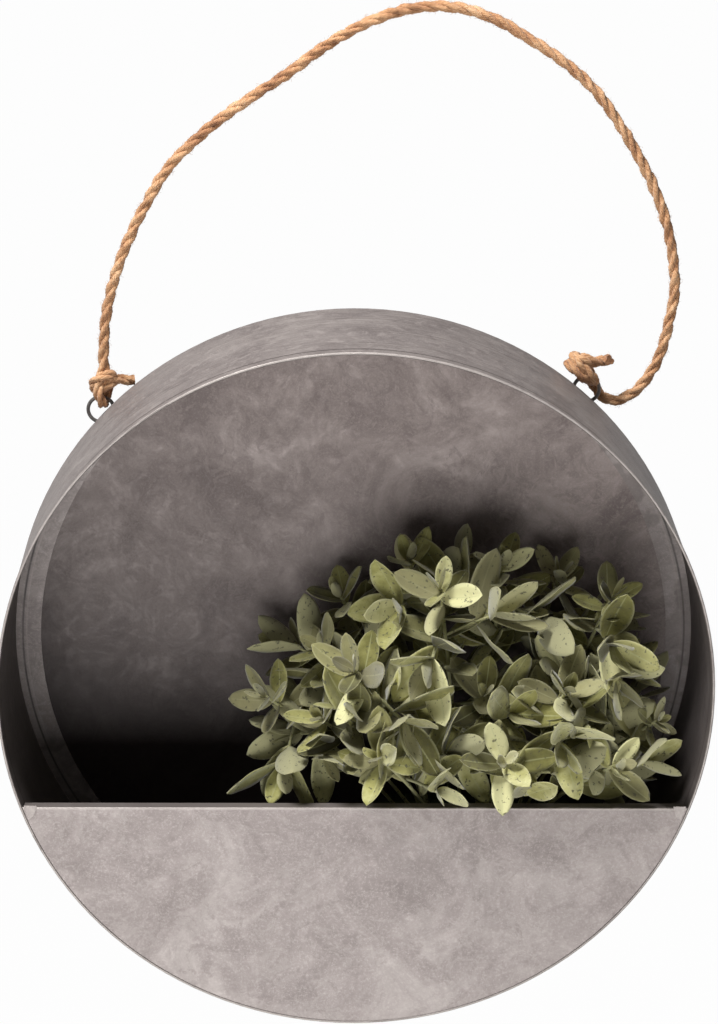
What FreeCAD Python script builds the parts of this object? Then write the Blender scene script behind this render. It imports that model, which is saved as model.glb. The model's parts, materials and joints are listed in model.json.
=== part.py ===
import FreeCAD, Part
import math
import os

import Sketcher
from FreeCAD import Placement, Rotation, Vector

# A round wall planter of zinc-coated sheet. Its drum hangs by two wire rings from a jute
# rope, and a sage-like bush stands in the half-moon pocket at its foot.
#
# The drum is drawn lying on its back: X to the right, Y up the wall, Z out of the wall,
# from the centre of the rings' plane. STAND turns that upright, so that the finished part
# has +Z up and faces -Y, with its origin where a wall hook carries the rope.

os.makedirs("parts", exist_ok=True)
doc = FreeCAD.newDocument("wall_planter")

# ---------------------------------------------------------------- driving dimensions, mm
SIZES = [
    # drum
    ("drum_radius", 199.5),
    ("drum_depth", 102),
    ("sheet", 0.8),
    ("rear_flange", 14.7),
    ("back_radius", 191),
    ("rim_hem", 5),
    # pocket
    ("pocket_drop", 65.4),
    ("panel_inset", 0.6),
    ("panel_return", 7),
    ("panel_edge_round", 0.6),
    ("tab_width", 8),
    ("tab_height", 7),
    ("tab_rise", 1.2),
    ("tab_sheet", 0.5),
    # rings and their staples
    ("ring_radius", 7.45),
    ("ring_wire", 1.05),
    ("ring_seat", 201.5),
    ("ring_angle_left", 46.6),
    ("ring_angle_right", 41.2),
    ("ring_standoff", 1.6),
    ("staple_wire", 0.6),
    ("staple_play", 0.35),
    ("staple_leg", 1.2),
    ("hole_play", 0.15),
    # rope
    ("rope_radius", 3.25),
    ("eye_strand", 2.3),
    ("eye_play", 0.3),
    ("knot_radius", 6.3),
    ("knot_right_share", 1.15),
    ("tail_radius", 3.1),
    ("hook_x", 43),
    ("hook_height", 370.9),
    # bush
    ("foam_left", 8),
    ("foam_right", 128),
    ("foam_top", 98),
    ("foam_rear", 3),
    ("foam_depth", 86),
    ("foam_play", 0.4),
    ("stem_radius", 1),
    ("stem_seat", 14),
    ("stem_play", 0.1),
    ("leaf_length", 35),
    ("leaf_width", 15),
    ("leaf_sheet", 1),
]

sheet = doc.addObject("Spreadsheet::Sheet", "Sizes")
for row, (alias, value) in enumerate(SIZES, start=1):
    sheet.set(f"A{row}", alias)
    sheet.set(f"B{row}", str(value))
    sheet.setAlias(f"B{row}", alias)
doc.recompute()


def size(alias):
    """A driving dimension, read from the sheet."""
    return float(sheet.get(alias))


# expressions that several pieces share, in the drum's own frame
INNER = "(Sizes.drum_radius - Sizes.sheet)"
FLANGE_REAR = "(Sizes.ring_wire + Sizes.ring_standoff)"
BACK_REAR = f"({FLANGE_REAR} - Sizes.sheet)"
RIM_FRONT = f"({BACK_REAR} + Sizes.drum_depth)"
PANEL_FRONT = f"({RIM_FRONT} - Sizes.panel_inset)"

# the same levels as numbers, for the pieces that are built from points
inner_radius = size("drum_radius") - size("sheet")
flange_rear = size("ring_wire") + size("ring_standoff")
back_rear = flange_rear - size("sheet")
rim_front = back_rear + size("drum_depth")
panel_front = rim_front - size("panel_inset")
half_chord = math.sqrt(inner_radius**2 - size("pocket_drop") ** 2)

UPRIGHT = Rotation(Vector(1, 0, 0), 90)
STAND = Placement(Vector(-size("hook_x"), 0, -(size("hook_height") - size("rope_radius"))), UPRIGHT)

pieces = []


# ---------------------------------------------------------------- helpers
def finish(obj, label):
    """Gives a piece its name and stands it up, with the sheet's cells behind its place."""
    obj.Label = label
    obj.Placement = Placement(Vector(0, 0, 0), UPRIGHT).multiply(obj.Placement)
    obj.setExpression("Placement.Base.x", "-Sizes.hook_x")
    obj.setExpression("Placement.Base.z", "-(Sizes.hook_height - Sizes.rope_radius)")
    pieces.append(obj)
    return obj


def solid_piece(shape, label):
    """A piece whose shape is built from points, stood up as the others are."""
    obj = doc.addObject("Part::Feature", label)
    obj.Shape = shape
    obj.Label = label
    obj.Placement = STAND
    pieces.append(obj)
    return obj


def new_body(name):
    return doc.addObject("PartDesign::Body", name)


def new_sketch(body, role, name, rise=None):
    """A sketch on one of the body's origin planes, lifted along the plane's normal."""
    sketch = body.newObject("Sketcher::SketchObject", name)
    plane = [f for f in body.Origin.OriginFeatures if f.Role == role][0]
    sketch.AttachmentSupport = [(plane, "")]
    sketch.MapMode = "FlatFace"
    if rise:
        sketch.setExpression("AttachmentOffset.Base.z", rise)
    return sketch


def bind(sketch, kind, args, expression):
    """A dimension of a sketch, tied to the sheet."""
    value = sheet_value(expression)
    index = sketch.addConstraint(Sketcher.Constraint(kind, *args, value))
    sketch.setExpression(f"Constraints[{index}]", expression)


def sheet_value(expression):
    """What an expression on the sheet comes to now."""
    return float(getattr(sheet.evalExpression(expression), "Value", sheet.evalExpression(expression)))


def corners_outline(sketch, corners):
    """A closed outline of straight edges through corners given as pairs of expressions."""
    points = [Vector(sheet_value(x), sheet_value(y), 0) for x, y in corners]
    count = len(points)
    for i in range(count):
        sketch.addGeometry(Part.LineSegment(points[i], points[(i + 1) % count]), False)
    for i in range(count):
        sketch.addConstraint(Sketcher.Constraint("Coincident", i, 2, (i + 1) % count, 1))
    for i, (x, y) in enumerate(corners):
        bind(sketch, "DistanceX", (-1, 1, i, 1), x)
        bind(sketch, "DistanceY", (-1, 1, i, 1), y)


def circle_outline(sketch, radius, x=None, y=None):
    """A circle about the sketch's origin, or about a point given by expressions."""
    centre = Vector(sheet_value(x), sheet_value(y), 0) if x else Vector(0, 0, 0)
    i = sketch.addGeometry(Part.Circle(centre, Vector(0, 0, 1), sheet_value(radius)), False)
    bind(sketch, "Radius", (i,), radius)
    if x:
        bind(sketch, "DistanceX", (-1, 1, i, 3), x)
        bind(sketch, "DistanceY", (-1, 1, i, 3), y)
    else:
        sketch.addConstraint(Sketcher.Constraint("Coincident", i, 3, -1, 1))


def pad(body, sketch, length, name):
    feature = body.newObject("PartDesign::Pad", name)
    feature.Profile = sketch
    feature.setExpression("Length", length)
    return feature


def pocket(body, sketch, length, name):
    feature = body.newObject("PartDesign::Pocket", name)
    feature.Profile = sketch
    feature.setExpression("Length", length)
    return feature


def route(points, share=0.45):
    """Straight runs joined by tangent arcs, each as large as its two runs allow."""
    edges, radii = [], []
    start = points[0]
    for before, corner, after in zip(points, points[1:], points[2:]):
        back, on = (before - corner), (after - corner)
        reach = share * min(back.Length, on.Length)
        back.normalize()
        on.normalize()
        half_turn = (math.pi - back.getAngle(on)) / 2
        radius = reach / math.tan(half_turn)
        first, last = corner + back * reach, corner + on * reach
        middle = back + on
        middle.normalize()
        crown = corner + middle * (radius / math.cos(half_turn) - radius)
        edges.append(Part.LineSegment(start, first).toShape())
        edges.append(Part.Arc(first, crown, last).toShape())
        radii.append(radius)
        start = last
    edges.append(Part.LineSegment(start, points[-1]).toShape())
    return Part.Wire(edges), radii


def tube(points, radius, share=0.45):
    """A round tube along a route, with the route's length and radii."""
    path, radii = route(points, share)
    ring = Part.Wire(Part.Circle(points[0], points[1] - points[0], radius).toShape())
    return path.makePipeShell([ring], True, False), path.Length, radii


def rod(start, end, radius):
    """A straight round rod between two points."""
    return Part.makeCylinder(radius, (end - start).Length, start, end - start)


# ---------------------------------------------------------------- drum
def make_rim_band():
    """The drum's wall: one strip, its front edge hemmed outwards, its rear edge turned in."""
    body = new_body("RimBand")
    profile = new_sketch(body, "XZ_Plane", "BandSection")
    hem = f"({RIM_FRONT} - Sizes.rim_hem)"
    corners_outline(profile, [
        (f"({INNER} - Sizes.rear_flange)", FLANGE_REAR),
        ("Sizes.drum_radius", FLANGE_REAR),
        ("Sizes.drum_radius", hem),
        ("(Sizes.drum_radius + Sizes.sheet)", hem),
        ("(Sizes.drum_radius + Sizes.sheet)", RIM_FRONT),
        (INNER, RIM_FRONT),
        (INNER, f"({FLANGE_REAR} + Sizes.sheet)"),
        (f"({INNER} - Sizes.rear_flange)", f"({FLANGE_REAR} + Sizes.sheet)"),
    ])
    band = body.newObject("PartDesign::Revolution", "BandTurned")
    band.Profile = profile
    band.ReferenceAxis = (profile, ["V_Axis"])
    band.Angle = 360
    doc.recompute()
    nose = round_edges(body, band, "RimNose", "Sizes.sheet * 0.95", is_rim_nose)
    holes = new_sketch(body, "XY_Plane", "StapleHoles", FLANGE_REAR)
    for side in ("left", "right"):
        for place in (-1, 1):
            x, y = leg_place(side, place)
            circle_outline(holes, "(Sizes.staple_wire + Sizes.hole_play)", x, y)
    drilled = pocket(body, holes, "Sizes.sheet * 3", "StapleDrill")
    drilled.Reversed = True
    body.Tip = drilled
    doc.recompute()
    if not drilled.Shape.Volume < nose.Shape.Volume:
        raise RuntimeError("the staple holes cut nothing")
    return finish(body, "rim_band")


def is_rim_nose(edge):
    """True for the two front edges of the band, which the nose rounds."""
    box = edge.BoundBox
    return abs(box.ZMin - rim_front) < 1e-4 and abs(box.ZMax - rim_front) < 1e-4


def round_edges(body, base, name, radius, chosen):
    """A fillet on the edges that a test picks."""
    names = [f"Edge{i + 1}" for i, e in enumerate(base.Shape.Edges) if chosen(e)]
    feature = body.newObject("PartDesign::Fillet", name)
    feature.Base = (base, names)
    feature.setExpression("Radius", radius)
    body.Tip = feature
    doc.recompute()
    return feature


def make_back_panel():
    """The back: a plain disc lapped on the rear of the band's flange."""
    body = new_body("BackPanel")
    outline = new_sketch(body, "XY_Plane", "BackOutline", BACK_REAR)
    circle_outline(outline, "Sizes.back_radius")
    body.Tip = pad(body, outline, "Sizes.sheet", "BackSheet")
    return finish(body, "back_panel")


def make_front_panel():
    """The pocket's front: a half-moon inside the rim, its top edge folded back level."""
    body = new_body("FrontPanel")
    face = new_sketch(body, "XY_Plane", "PanelOutline", f"({PANEL_FRONT} - Sizes.sheet)")
    drop = size("pocket_drop")
    start = math.pi + math.asin(drop / inner_radius)
    end = 2 * math.pi - math.asin(drop / inner_radius)
    circle = Part.Circle(Vector(0, 0, 0), Vector(0, 0, 1), inner_radius)
    arc = face.addGeometry(Part.ArcOfCircle(circle, start, end), False)
    left, right = Vector(-half_chord, -drop, 0), Vector(half_chord, -drop, 0)
    top = face.addGeometry(Part.LineSegment(right, left), False)
    face.addConstraint(Sketcher.Constraint("Coincident", arc, 3, -1, 1))
    face.addConstraint(Sketcher.Constraint("Coincident", arc, 1, top, 2))
    face.addConstraint(Sketcher.Constraint("Coincident", arc, 2, top, 1))
    face.addConstraint(Sketcher.Constraint("Horizontal", top))
    bind(face, "Radius", (arc,), INNER)
    bind(face, "DistanceY", (top, 1, -1, 1), "Sizes.pocket_drop")
    pad(body, face, "Sizes.sheet", "PanelSheet")

    fold = new_sketch(body, "XY_Plane", "ReturnOutline", f"({PANEL_FRONT} - Sizes.panel_return)")
    reach = f"(sqrt({INNER} ^ 2 - Sizes.pocket_drop ^ 2) - Sizes.sheet)"
    low = "-(Sizes.pocket_drop + Sizes.sheet)"
    corners_outline(fold, [
        (f"-{reach}", low),
        (reach, low),
        (reach, "-Sizes.pocket_drop"),
        (f"-{reach}", "-Sizes.pocket_drop"),
    ])
    folded = pad(body, fold, "Sizes.panel_return - Sizes.sheet / 2", "PanelReturn")
    body.Tip = folded
    doc.recompute()
    round_edges(body, folded, "PanelBend", "min(Sizes.panel_edge_round; Sizes.sheet * 0.9)", is_panel_bend)
    return finish(body, "front_panel")


def is_panel_bend(edge):
    """True for the panel's top front edge."""
    box = edge.BoundBox
    level = abs(box.YMin + size("pocket_drop")) < 1e-4 and abs(box.YMax + size("pocket_drop")) < 1e-4
    return level and abs(box.ZMin - panel_front) < 1e-4 and box.XLength > half_chord


def make_corner_tab(side):
    """A small soldered patch that ties a corner of the pocket panel to the rim."""
    sign = {"left": -1, "right": 1}[side]
    body = new_body(f"CornerTab{side.title()}")
    outline = new_sketch(body, "XY_Plane", "TabOutline", PANEL_FRONT)
    chord = f"sqrt({INNER} ^ 2 - Sizes.pocket_drop ^ 2)"
    low = "(Sizes.pocket_drop + Sizes.tab_height)"
    foot = f"(sqrt({INNER} ^ 2 - {low} ^ 2) - Sizes.sheet)"
    corners = [
        (f"({chord} - Sizes.sheet)", "-Sizes.pocket_drop + Sizes.tab_rise"),
        (f"({chord} - Sizes.tab_width)", "-Sizes.pocket_drop + Sizes.tab_rise"),
        (f"({chord} - Sizes.tab_width * 0.8)", "-(Sizes.pocket_drop + Sizes.tab_height * 0.7)"),
        (foot, f"-{low}"),
    ]
    corners_outline(outline, [(f"{sign} * {x}", y) for x, y in corners])
    body.Tip = pad(body, outline, "Sizes.tab_sheet", "TabSheet")
    return finish(body, f"corner_tab_{side}")


# ---------------------------------------------------------------- rings and staples
def ring_centre(side):
    """A ring's centre, on the drum's outline at its own angle from the top."""
    sign = {"left": -1, "right": 1}[side]
    angle = math.radians(size(f"ring_angle_{side}"))
    return Vector(sign * math.sin(angle), math.cos(angle), 0) * size("ring_seat")


def ring_up():
    """Up, square to the line through both rings' centres."""
    along = ring_centre("right") - ring_centre("left")
    along.normalize()
    return Vector(-along.y, along.x, 0), along


def leg_place(side, place):
    """Where a staple's leg goes through the flange, as two expressions; place is -1 or 1."""
    sign = {"left": "-1", "right": "1"}[side]
    angle = f"Sizes.ring_angle_{side} * 1deg"
    run = "(sin(Sizes.ring_angle_right * 1deg) + sin(Sizes.ring_angle_left * 1deg))"
    climb = "(cos(Sizes.ring_angle_right * 1deg) - cos(Sizes.ring_angle_left * 1deg))"
    span = f"sqrt({run} ^ 2 + {climb} ^ 2)"
    half_width = "(Sizes.ring_wire + Sizes.staple_play + Sizes.staple_wire)"
    out = f"({place} * {half_width} - Sizes.ring_radius)"
    x = f"({sign} * sin({angle}) * Sizes.ring_seat - {climb} / {span} * {out})"
    y = f"(cos({angle}) * Sizes.ring_seat + {run} / {span} * {out})"
    return x, y


def make_ring(side):
    """A closed ring of round wire."""
    ring = doc.addObject("Part::Torus", f"Ring{side.title()}")
    ring.setExpression("Radius1", "Sizes.ring_radius")
    ring.setExpression("Radius2", "Sizes.ring_wire")
    shape = Part.makeTorus(size("ring_radius"), size("ring_wire"))
    centre = ring_centre(side)
    ring.Label = f"ring_{side}"
    ring.Placement = STAND.multiply(Placement(centre, Rotation()))
    sign = {"left": "-", "right": ""}[side]
    angle = f"Sizes.ring_angle_{side} * 1deg"
    ring.setExpression("Placement.Base.x", f"{sign}sin({angle}) * Sizes.ring_seat - Sizes.hook_x")
    height = "(Sizes.hook_height - Sizes.rope_radius)"
    ring.setExpression("Placement.Base.z", f"cos({angle}) * Sizes.ring_seat - {height}")
    pieces.append(ring)
    return shape


def make_staple(side):
    """A wire staple over the ring's lowest wire, its legs through the band's flange."""
    up, along = ring_up()
    wire, play = size("staple_wire"), size("staple_play")
    seat = ring_centre(side) - up * size("ring_radius")
    half_width = size("ring_wire") + play + wire
    rear = Vector(0, 0, -(size("ring_wire") + play + wire))
    front = Vector(0, 0, flange_rear + size("sheet") + size("staple_leg"))
    points = [
        seat - up * half_width + front,
        seat - up * half_width + rear,
        seat + up * half_width + rear,
        seat + up * half_width + front,
    ]
    shape, _, _ = tube(points, wire)
    return solid_piece(shape, f"ring_staple_{side}")


# ---------------------------------------------------------------- rope
# The free rope's route in the hanging plane, from the left knot over the hook to the back of
# the right knot, from the drum's centre: x, height, and how far it stands behind the plane.
ROPE_ROUTE = [
    (-144.4, 161.5, 0.0),
    (-144.6, 178.0, 0.0),
    (-142.0, 200.0, 0.0),
    (-134.5, 226.0, 0.0),
    (-123.0, 252.0, 0.0),
    (-106.5, 281.0, 0.0),
    (-86.0, 300.0, 0.0),
    (-66.0, 315.5, 0.0),
    (-41.0, 331.5, 0.0),
    (-16.0, 350.5, 0.0),
    (13.0, 366.0, 0.0),
    (43.0, 372.0, 0.0),
    (70.0, 367.0, 0.0),
    (98.0, 351.5, 0.0),
    (129.0, 329.5, 0.0),
    (147.0, 305.0, 0.0),
    (160.0, 284.0, 0.0),
    (171.5, 261.0, 0.0),
    (179.0, 235.0, 0.0),
    (182.0, 210.0, 0.0),
    (178.0, 187.0, 0.0),
    (173.5, 168.0, 0.3),
    (165.0, 153.5, 1.0),
    (154.5, 144.5, 2.6),
    (145.5, 143.2, 4.8),
    (140.0, 147.5, 5.8),
]


def make_rope_span():
    """The free rope: a plain tube along its route."""
    points = [Vector(x, height, -back) for x, height, back in ROPE_ROUTE]
    shape, length, radii = tube(points, size("rope_radius"))
    section = math.pi * size("rope_radius") ** 2
    print(f"rope_span: length {length:.1f} mm, radii {', '.join(f'{r:.0f}' for r in radii)}")
    print(f"rope_span: volume {shape.Volume:.0f} mm3, section times length {section * length:.0f}")
    return solid_piece(shape, "rope_span")


def make_knot(side):
    """A knot with the eye that holds its ring, and the neck that the free rope leaves by."""
    up, along = ring_up()
    top = ring_centre(side) + up * size("ring_radius")
    strand = size("eye_strand")
    eye_radius = size("ring_wire") + size("eye_play") + strand
    eye = Part.makeTorus(eye_radius, strand)
    eye.Placement = Placement(top, Rotation(Vector(0, 0, 1), along))
    swell = {"left": 1, "right": size("knot_right_share")}[side]
    lift = size("ring_wire") + size("eye_play") + size("knot_radius") * swell
    centre = top + Vector({"left": 2.2, "right": -3.6}[side], lift, -1.2)
    ball = tilted_ball(size("knot_radius") * swell, centre)
    neck = bent_rod(neck_points(side, centre), size("rope_radius"))
    tail = bent_rod(tail_points(side, centre), size("tail_radius"))
    return solid_piece(ball.fuse([eye, *neck, *tail]), f"rope_knot_{side}")


def bent_rod(points, radius):
    """Straight rods end to end, with a ball at each corner."""
    rods = [rod(start, end, radius) for start, end in zip(points, points[1:])]
    return rods + [tilted_ball(radius, corner) for corner in points[1:-1]]


def tilted_ball(radius, centre):
    """A ball with its poles turned away from the rods that run into it."""
    ball = Part.makeSphere(radius)
    ball.Placement = Placement(centre, Rotation(Vector(1, 0.3, 0.2), 63))
    return ball


def neck_points(side, knot):
    """The tight run from the free rope's end into the knot."""
    if side == "left":
        end = route_point(0)
        return [end, end + (end - route_point(1)).normalize() * 4, knot + Vector(0, 1, -0.5)]
    end = route_point(-1)
    onward = (end - route_point(-2)).normalize() * 8
    return [end, end + onward, knot + Vector(0, -1, -1)]


def tail_points(side, knot):
    """The short free end past the knot: the left one lies behind the rim, the right one
    turns its cut end to the front."""
    if side == "left":
        return [knot, knot + Vector(8.5, -1.5, -3.9), knot + Vector(17.5, -0.5, -4.4)]
    return [knot, knot + Vector(8, 0, 0), knot + Vector(13.5, 2.5, 2), knot + Vector(15.5, 3.2, 8)]


def route_point(index):
    x, height, back = ROPE_ROUTE[index]
    return Vector(x, height, -back)


# ---------------------------------------------------------------- bush
# Each sprig: where its rosette sits (x, height, out), and its size against the largest.
SPRIGS = [
    ((31, 59, 36), 1.0),
    ((47, 57, 80), 0.95),
    ((83, 61, 50), 1.0),
    ((117, 49, 33), 0.95),
    ((146, 47, 62), 0.9),
    ((-19, 14, 56), 0.95),
    ((-8, 36, 33), 0.9),
    ((49, 6, 52), 0.95),
    ((-1, 15, 96), 1.05),
    ((-51, -15, 60), 0.9),
    ((-20, -19, 84), 0.85),
    ((13, -32, 112), 1.0),
    ((118, 3, 97), 1.05),
    ((157, 8, 58), 0.85),
    ((171, -20, 84), 0.6),
    ((83, -32, 116), 1.0),
    ((146, -39, 104), 0.9),
    ((73, -5, 82), 0.95),
]
# the pairs of leaves up a stem: turn about it, opening from it, share of full length, and
# how far the pair sits below the stem's tip
PAIRS = [(0, 84, 0.9, 15), (90, 70, 1.0, 9), (20, 52, 0.85, 4.5), (110, 26, 0.55, 0.5)]
HUB_LENGTH = 16
LEAF_HOLLOW = 1.9
LEAF_LOW = 0.3
BUSH_ROOT = Vector(70, -85, 52)
# a sprig is turned about its own stem, or made a little smaller, until it is clear
TURNS = range(0, 180, 10)
SHARES = (1, 0.94, 0.88, 0.82)
CELL = 2


def leaf_spots(length):
    """Points over a leaf, about one to a cell."""
    half_width = size("leaf_width") / size("leaf_length") * length / 2
    steps = math.ceil(length / CELL)
    for i in range(1, steps + 1):
        x = length * i / steps
        reach = half_width * math.sqrt(max(0, 1 - (2 * x / length - 1) ** 2))
        rows = math.ceil(2 * reach / CELL) + 1
        for j in range(rows + 1):
            y = reach * (2 * j / rows - 1)
            hollow = LEAF_HOLLOW * length
            yield Vector(x, y, hollow - math.sqrt(hollow**2 - (x - LEAF_LOW * length) ** 2 - y**2))


def leaf_places():
    """The leaves of a rosette at full size: each one's length and place."""
    for swing, opening, share, drop in PAIRS:
        for half in (0, 180):
            about = Placement(Vector(0, 0, -drop), Rotation(Vector(0, 0, 1), swing + half))
            open_up = Placement(Vector(0, 0, 0), Rotation(Vector(0, 1, 0), opening - 90))
            yield size("leaf_length") * share, about.multiply(open_up)


def rosette_place(centre, turn):
    stand = Placement(centre, Rotation(Vector(0, 0, 1), rosette_axis(centre)))
    return stand.multiply(Placement(Vector(0, 0, 0), Rotation(Vector(0, 0, 1), turn)))


def cells_of(points):
    return {(round(p.x / CELL), round(p.y / CELL), round(p.z / CELL)) for p in points}


def crowding(cells, taken, number):
    """How many cells of a sprig lie beside another sprig's."""
    steps = [(i, j, k) for i in (-1, 0, 1) for j in (-1, 0, 1) for k in (-1, 0, 1)]
    count = 0
    for x, y, z in cells:
        count += any(taken.get((x + i, y + j, z + k), number) != number for i, j, k in steps)
    return count


def settle_sprigs():
    """Turns each sprig, and makes it smaller where it has to be, until all are clear."""
    taken = {}
    for number, (place, scale) in enumerate(SPRIGS, start=1):
        route_now = stem_points(Vector(*place), scale)
        for start, end in zip(route_now, route_now[1:]):
            steps = math.ceil((end - start).Length / CELL)
            stem = [start + (end - start) * (i / steps) for i in range(steps + 1)]
            taken.update({c: number for c in cells_of(stem)})
    spots = [p for length, place in leaf_places() for p in map(place.multVec, leaf_spots(length))]
    settled = []
    for number, (place, scale) in enumerate(SPRIGS, start=1):
        tries = []
        for share in SHARES:
            for step in TURNS:
                turn = (40 * number + step) % 180
                now = rosette_place(Vector(*place), turn)
                cells = cells_of(now.multVec(p * (scale * share)) for p in spots)
                tries.append((crowding(cells, taken, number), -share, step, turn, cells))
                if tries[-1][0] == 0:
                    break
            if tries[-1][0] == 0:
                break
        crowd, share, _, turn, cells = min(tries, key=lambda t: t[:3])
        taken.update({c: number for c in cells})
        settled.append((Vector(*place), turn, -share * scale))
        print(f"sprig_{number:02d}: turned {turn} degrees, size {-share * scale:.3f}, beside others {crowd}")
    return settled


def stem_points(centre, scale):
    """A stem's route: up out of the foam, then in a lean curve to its rosette."""
    foot = Vector(BUSH_ROOT.x + (centre.x - BUSH_ROOT.x) * 0.28, -size("foam_top"),
                  BUSH_ROOT.z + (centre.z - 70) * 0.45)
    lean = rosette_axis(centre)
    return [
        foot - Vector(0, size("stem_seat"), 0),
        foot + Vector(0, 10, 0),
        centre - lean * 24,
        centre - lean * (HUB_LENGTH * scale - 1),
    ]


def rosette_axis(centre):
    """The way a rosette faces: away from the bush's root, and a little up and out."""
    axis = centre - BUSH_ROOT
    axis.normalize()
    axis += Vector(0, 0.25, 0.5)
    axis.normalize()
    return axis


def make_leaf(length):
    """A cupped oval leaf that starts at the origin and runs along X, its hollow towards Z."""
    width = size("leaf_width") * length / size("leaf_length")
    oval = Part.Ellipse(Vector(length / 2, 0, 0), length / 2, width / 2)
    prism = Part.Face(Part.Wire(oval.toShape())).extrude(Vector(0, 0, length))
    prism.translate(Vector(0, 0, -length / 2))
    hollow = LEAF_HOLLOW * length
    centre = Vector(length * LEAF_LOW, 0, hollow)
    outer = Part.makeSphere(hollow + size("leaf_sheet") / 2, centre)
    inner = Part.makeSphere(hollow - size("leaf_sheet") / 2, centre)
    return prism.common(outer.cut(inner))


def make_rosette():
    """The tip of a sprig at full size: pairs of opposite leaves on a short hub along Z."""
    hub = Part.makeCylinder(size("stem_radius") * 1.3, HUB_LENGTH, Vector(0, 0, -HUB_LENGTH))
    leaves = []
    for length, place in leaf_places():
        leaf = make_leaf(length)
        leaf.Placement = place
        leaves.append(leaf)
    return hub.fuse(leaves)


def make_sprig(number, rosette, centre, turn, scale):
    """One sprig: a stem that runs up into the hub of its rosette."""
    tip = rosette.copy()
    tip.scale(scale)
    tip.Placement = rosette_place(centre, turn)
    stem, _, _ = tube(stem_points(centre, scale), size("stem_radius"))
    return solid_piece(stem.fuse(tip), f"sprig_{number:02d}")


def make_foam():
    """The dry foam in the pocket: its foot follows the band, and each stem has its hole."""
    left, right = size("foam_left"), size("foam_right")
    rear, depth = flange_rear + size("sheet") + size("foam_rear"), size("foam_depth")
    block = Part.makeBox(right - left, 2 * inner_radius, depth, Vector(left, -2 * inner_radius, rear))
    block.translate(Vector(0, -size("foam_top"), 0))
    drum = Part.makeCylinder(inner_radius - size("foam_play"), depth, Vector(0, 0, rear))
    foam = block.common(drum)
    holes = []
    for place, scale in SPRIGS:
        foot = stem_points(Vector(*place), scale)[0]
        gap = size("stem_play")
        low = foot - Vector(0, gap, 0)
        holes.append(rod(low, low + Vector(0, size("stem_seat") + 5, 0), size("stem_radius") + gap))
    return solid_piece(foam.cut(holes), "foam_block")


# ---------------------------------------------------------------- build
make_rim_band()
make_back_panel()
make_front_panel()
for side in ("left", "right"):
    make_corner_tab(side)
    make_staple(side)
    make_ring(side)
    make_knot(side)
make_rope_span()
make_foam()
rosette = make_rosette()
for number, (centre, turn, scale) in enumerate(settle_sprigs(), start=1):
    make_sprig(number, rosette, centre, turn, scale)

doc.recompute()
for obj in doc.Objects:
    if "Invalid" in obj.State or "Error" in obj.State:
        raise RuntimeError(f"{obj.Label}: {obj.State}")
for piece in pieces:
    shape = piece.Shape
    if shape.isNull() or not shape.isValid() or not shape.Solids:
        raise RuntimeError(f"{piece.Label}: its shape isn't a valid solid")
    shape.exportStep(f"parts/{piece.Label}.step")
    box = shape.BoundBox
    print(f"{piece.Label}: {len(shape.Solids)} solid, {shape.Volume:.0f} mm3, "
          f"x {box.XMin:.1f} {box.XMax:.1f} y {box.YMin:.1f} {box.YMax:.1f} z {box.ZMin:.1f} {box.ZMax:.1f}")
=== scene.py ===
# %% [markdown]
# # A zinc wall planter on a jute rope
# The real planter is a shallow drum of zinc-coated sheet that hangs on a wall. A half-moon
# across its foot makes a pocket, and sprigs with felted grey-green leaves stand in it. This
# lesson takes the solid model of the planter as a fixed frame and dresses it, one piece at a
# time: the rope, the sheet metal, the wire rings and the bush.

# %% The frame
import json
import math
import random

import bmesh
import bpy
from mathutils import Matrix, Vector
from mathutils.kdtree import KDTree

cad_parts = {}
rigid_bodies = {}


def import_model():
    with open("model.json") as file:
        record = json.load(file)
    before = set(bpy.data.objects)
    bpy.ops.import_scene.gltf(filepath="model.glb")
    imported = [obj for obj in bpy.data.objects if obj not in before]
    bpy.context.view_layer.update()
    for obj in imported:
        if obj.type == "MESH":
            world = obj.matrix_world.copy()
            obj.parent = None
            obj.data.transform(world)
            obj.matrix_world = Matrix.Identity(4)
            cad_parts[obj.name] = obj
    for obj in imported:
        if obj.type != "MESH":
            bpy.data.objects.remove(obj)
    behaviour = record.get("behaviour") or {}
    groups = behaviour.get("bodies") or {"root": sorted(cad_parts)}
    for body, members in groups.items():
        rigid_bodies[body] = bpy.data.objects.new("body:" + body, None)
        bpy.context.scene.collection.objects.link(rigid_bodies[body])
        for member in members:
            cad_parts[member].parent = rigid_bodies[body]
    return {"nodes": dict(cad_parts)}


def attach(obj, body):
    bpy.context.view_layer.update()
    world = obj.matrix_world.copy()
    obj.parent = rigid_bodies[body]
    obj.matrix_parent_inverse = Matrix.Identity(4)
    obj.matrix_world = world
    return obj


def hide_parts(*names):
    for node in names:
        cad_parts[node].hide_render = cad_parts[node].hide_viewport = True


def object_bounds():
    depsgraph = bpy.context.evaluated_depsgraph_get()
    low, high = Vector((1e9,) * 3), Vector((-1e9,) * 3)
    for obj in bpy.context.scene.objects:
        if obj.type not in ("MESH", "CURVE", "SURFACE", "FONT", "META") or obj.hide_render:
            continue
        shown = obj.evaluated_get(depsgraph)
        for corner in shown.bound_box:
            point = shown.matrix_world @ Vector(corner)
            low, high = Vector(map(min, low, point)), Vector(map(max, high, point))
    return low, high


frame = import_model()
nodes = frame["nodes"]
cad_box = [list(corner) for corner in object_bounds()]
print("frame:", len(nodes), "nodes, box", cad_box)


# %% [markdown]
# ## Places and colours
# Every place on the planter is measured from the centre of its round outline: across, up, and
# out towards the viewer, in millimetres. `spot` turns such a place into Blender's metres, which
# start at the hook. Colours are written as they look on a screen, and a renderer counts light
# instead, so one function turns a hex colour into linear light.

# %% Places and colours
MM = 0.001
HOOK_X, HOOK_HEIGHT = 43.0, 367.65


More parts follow.
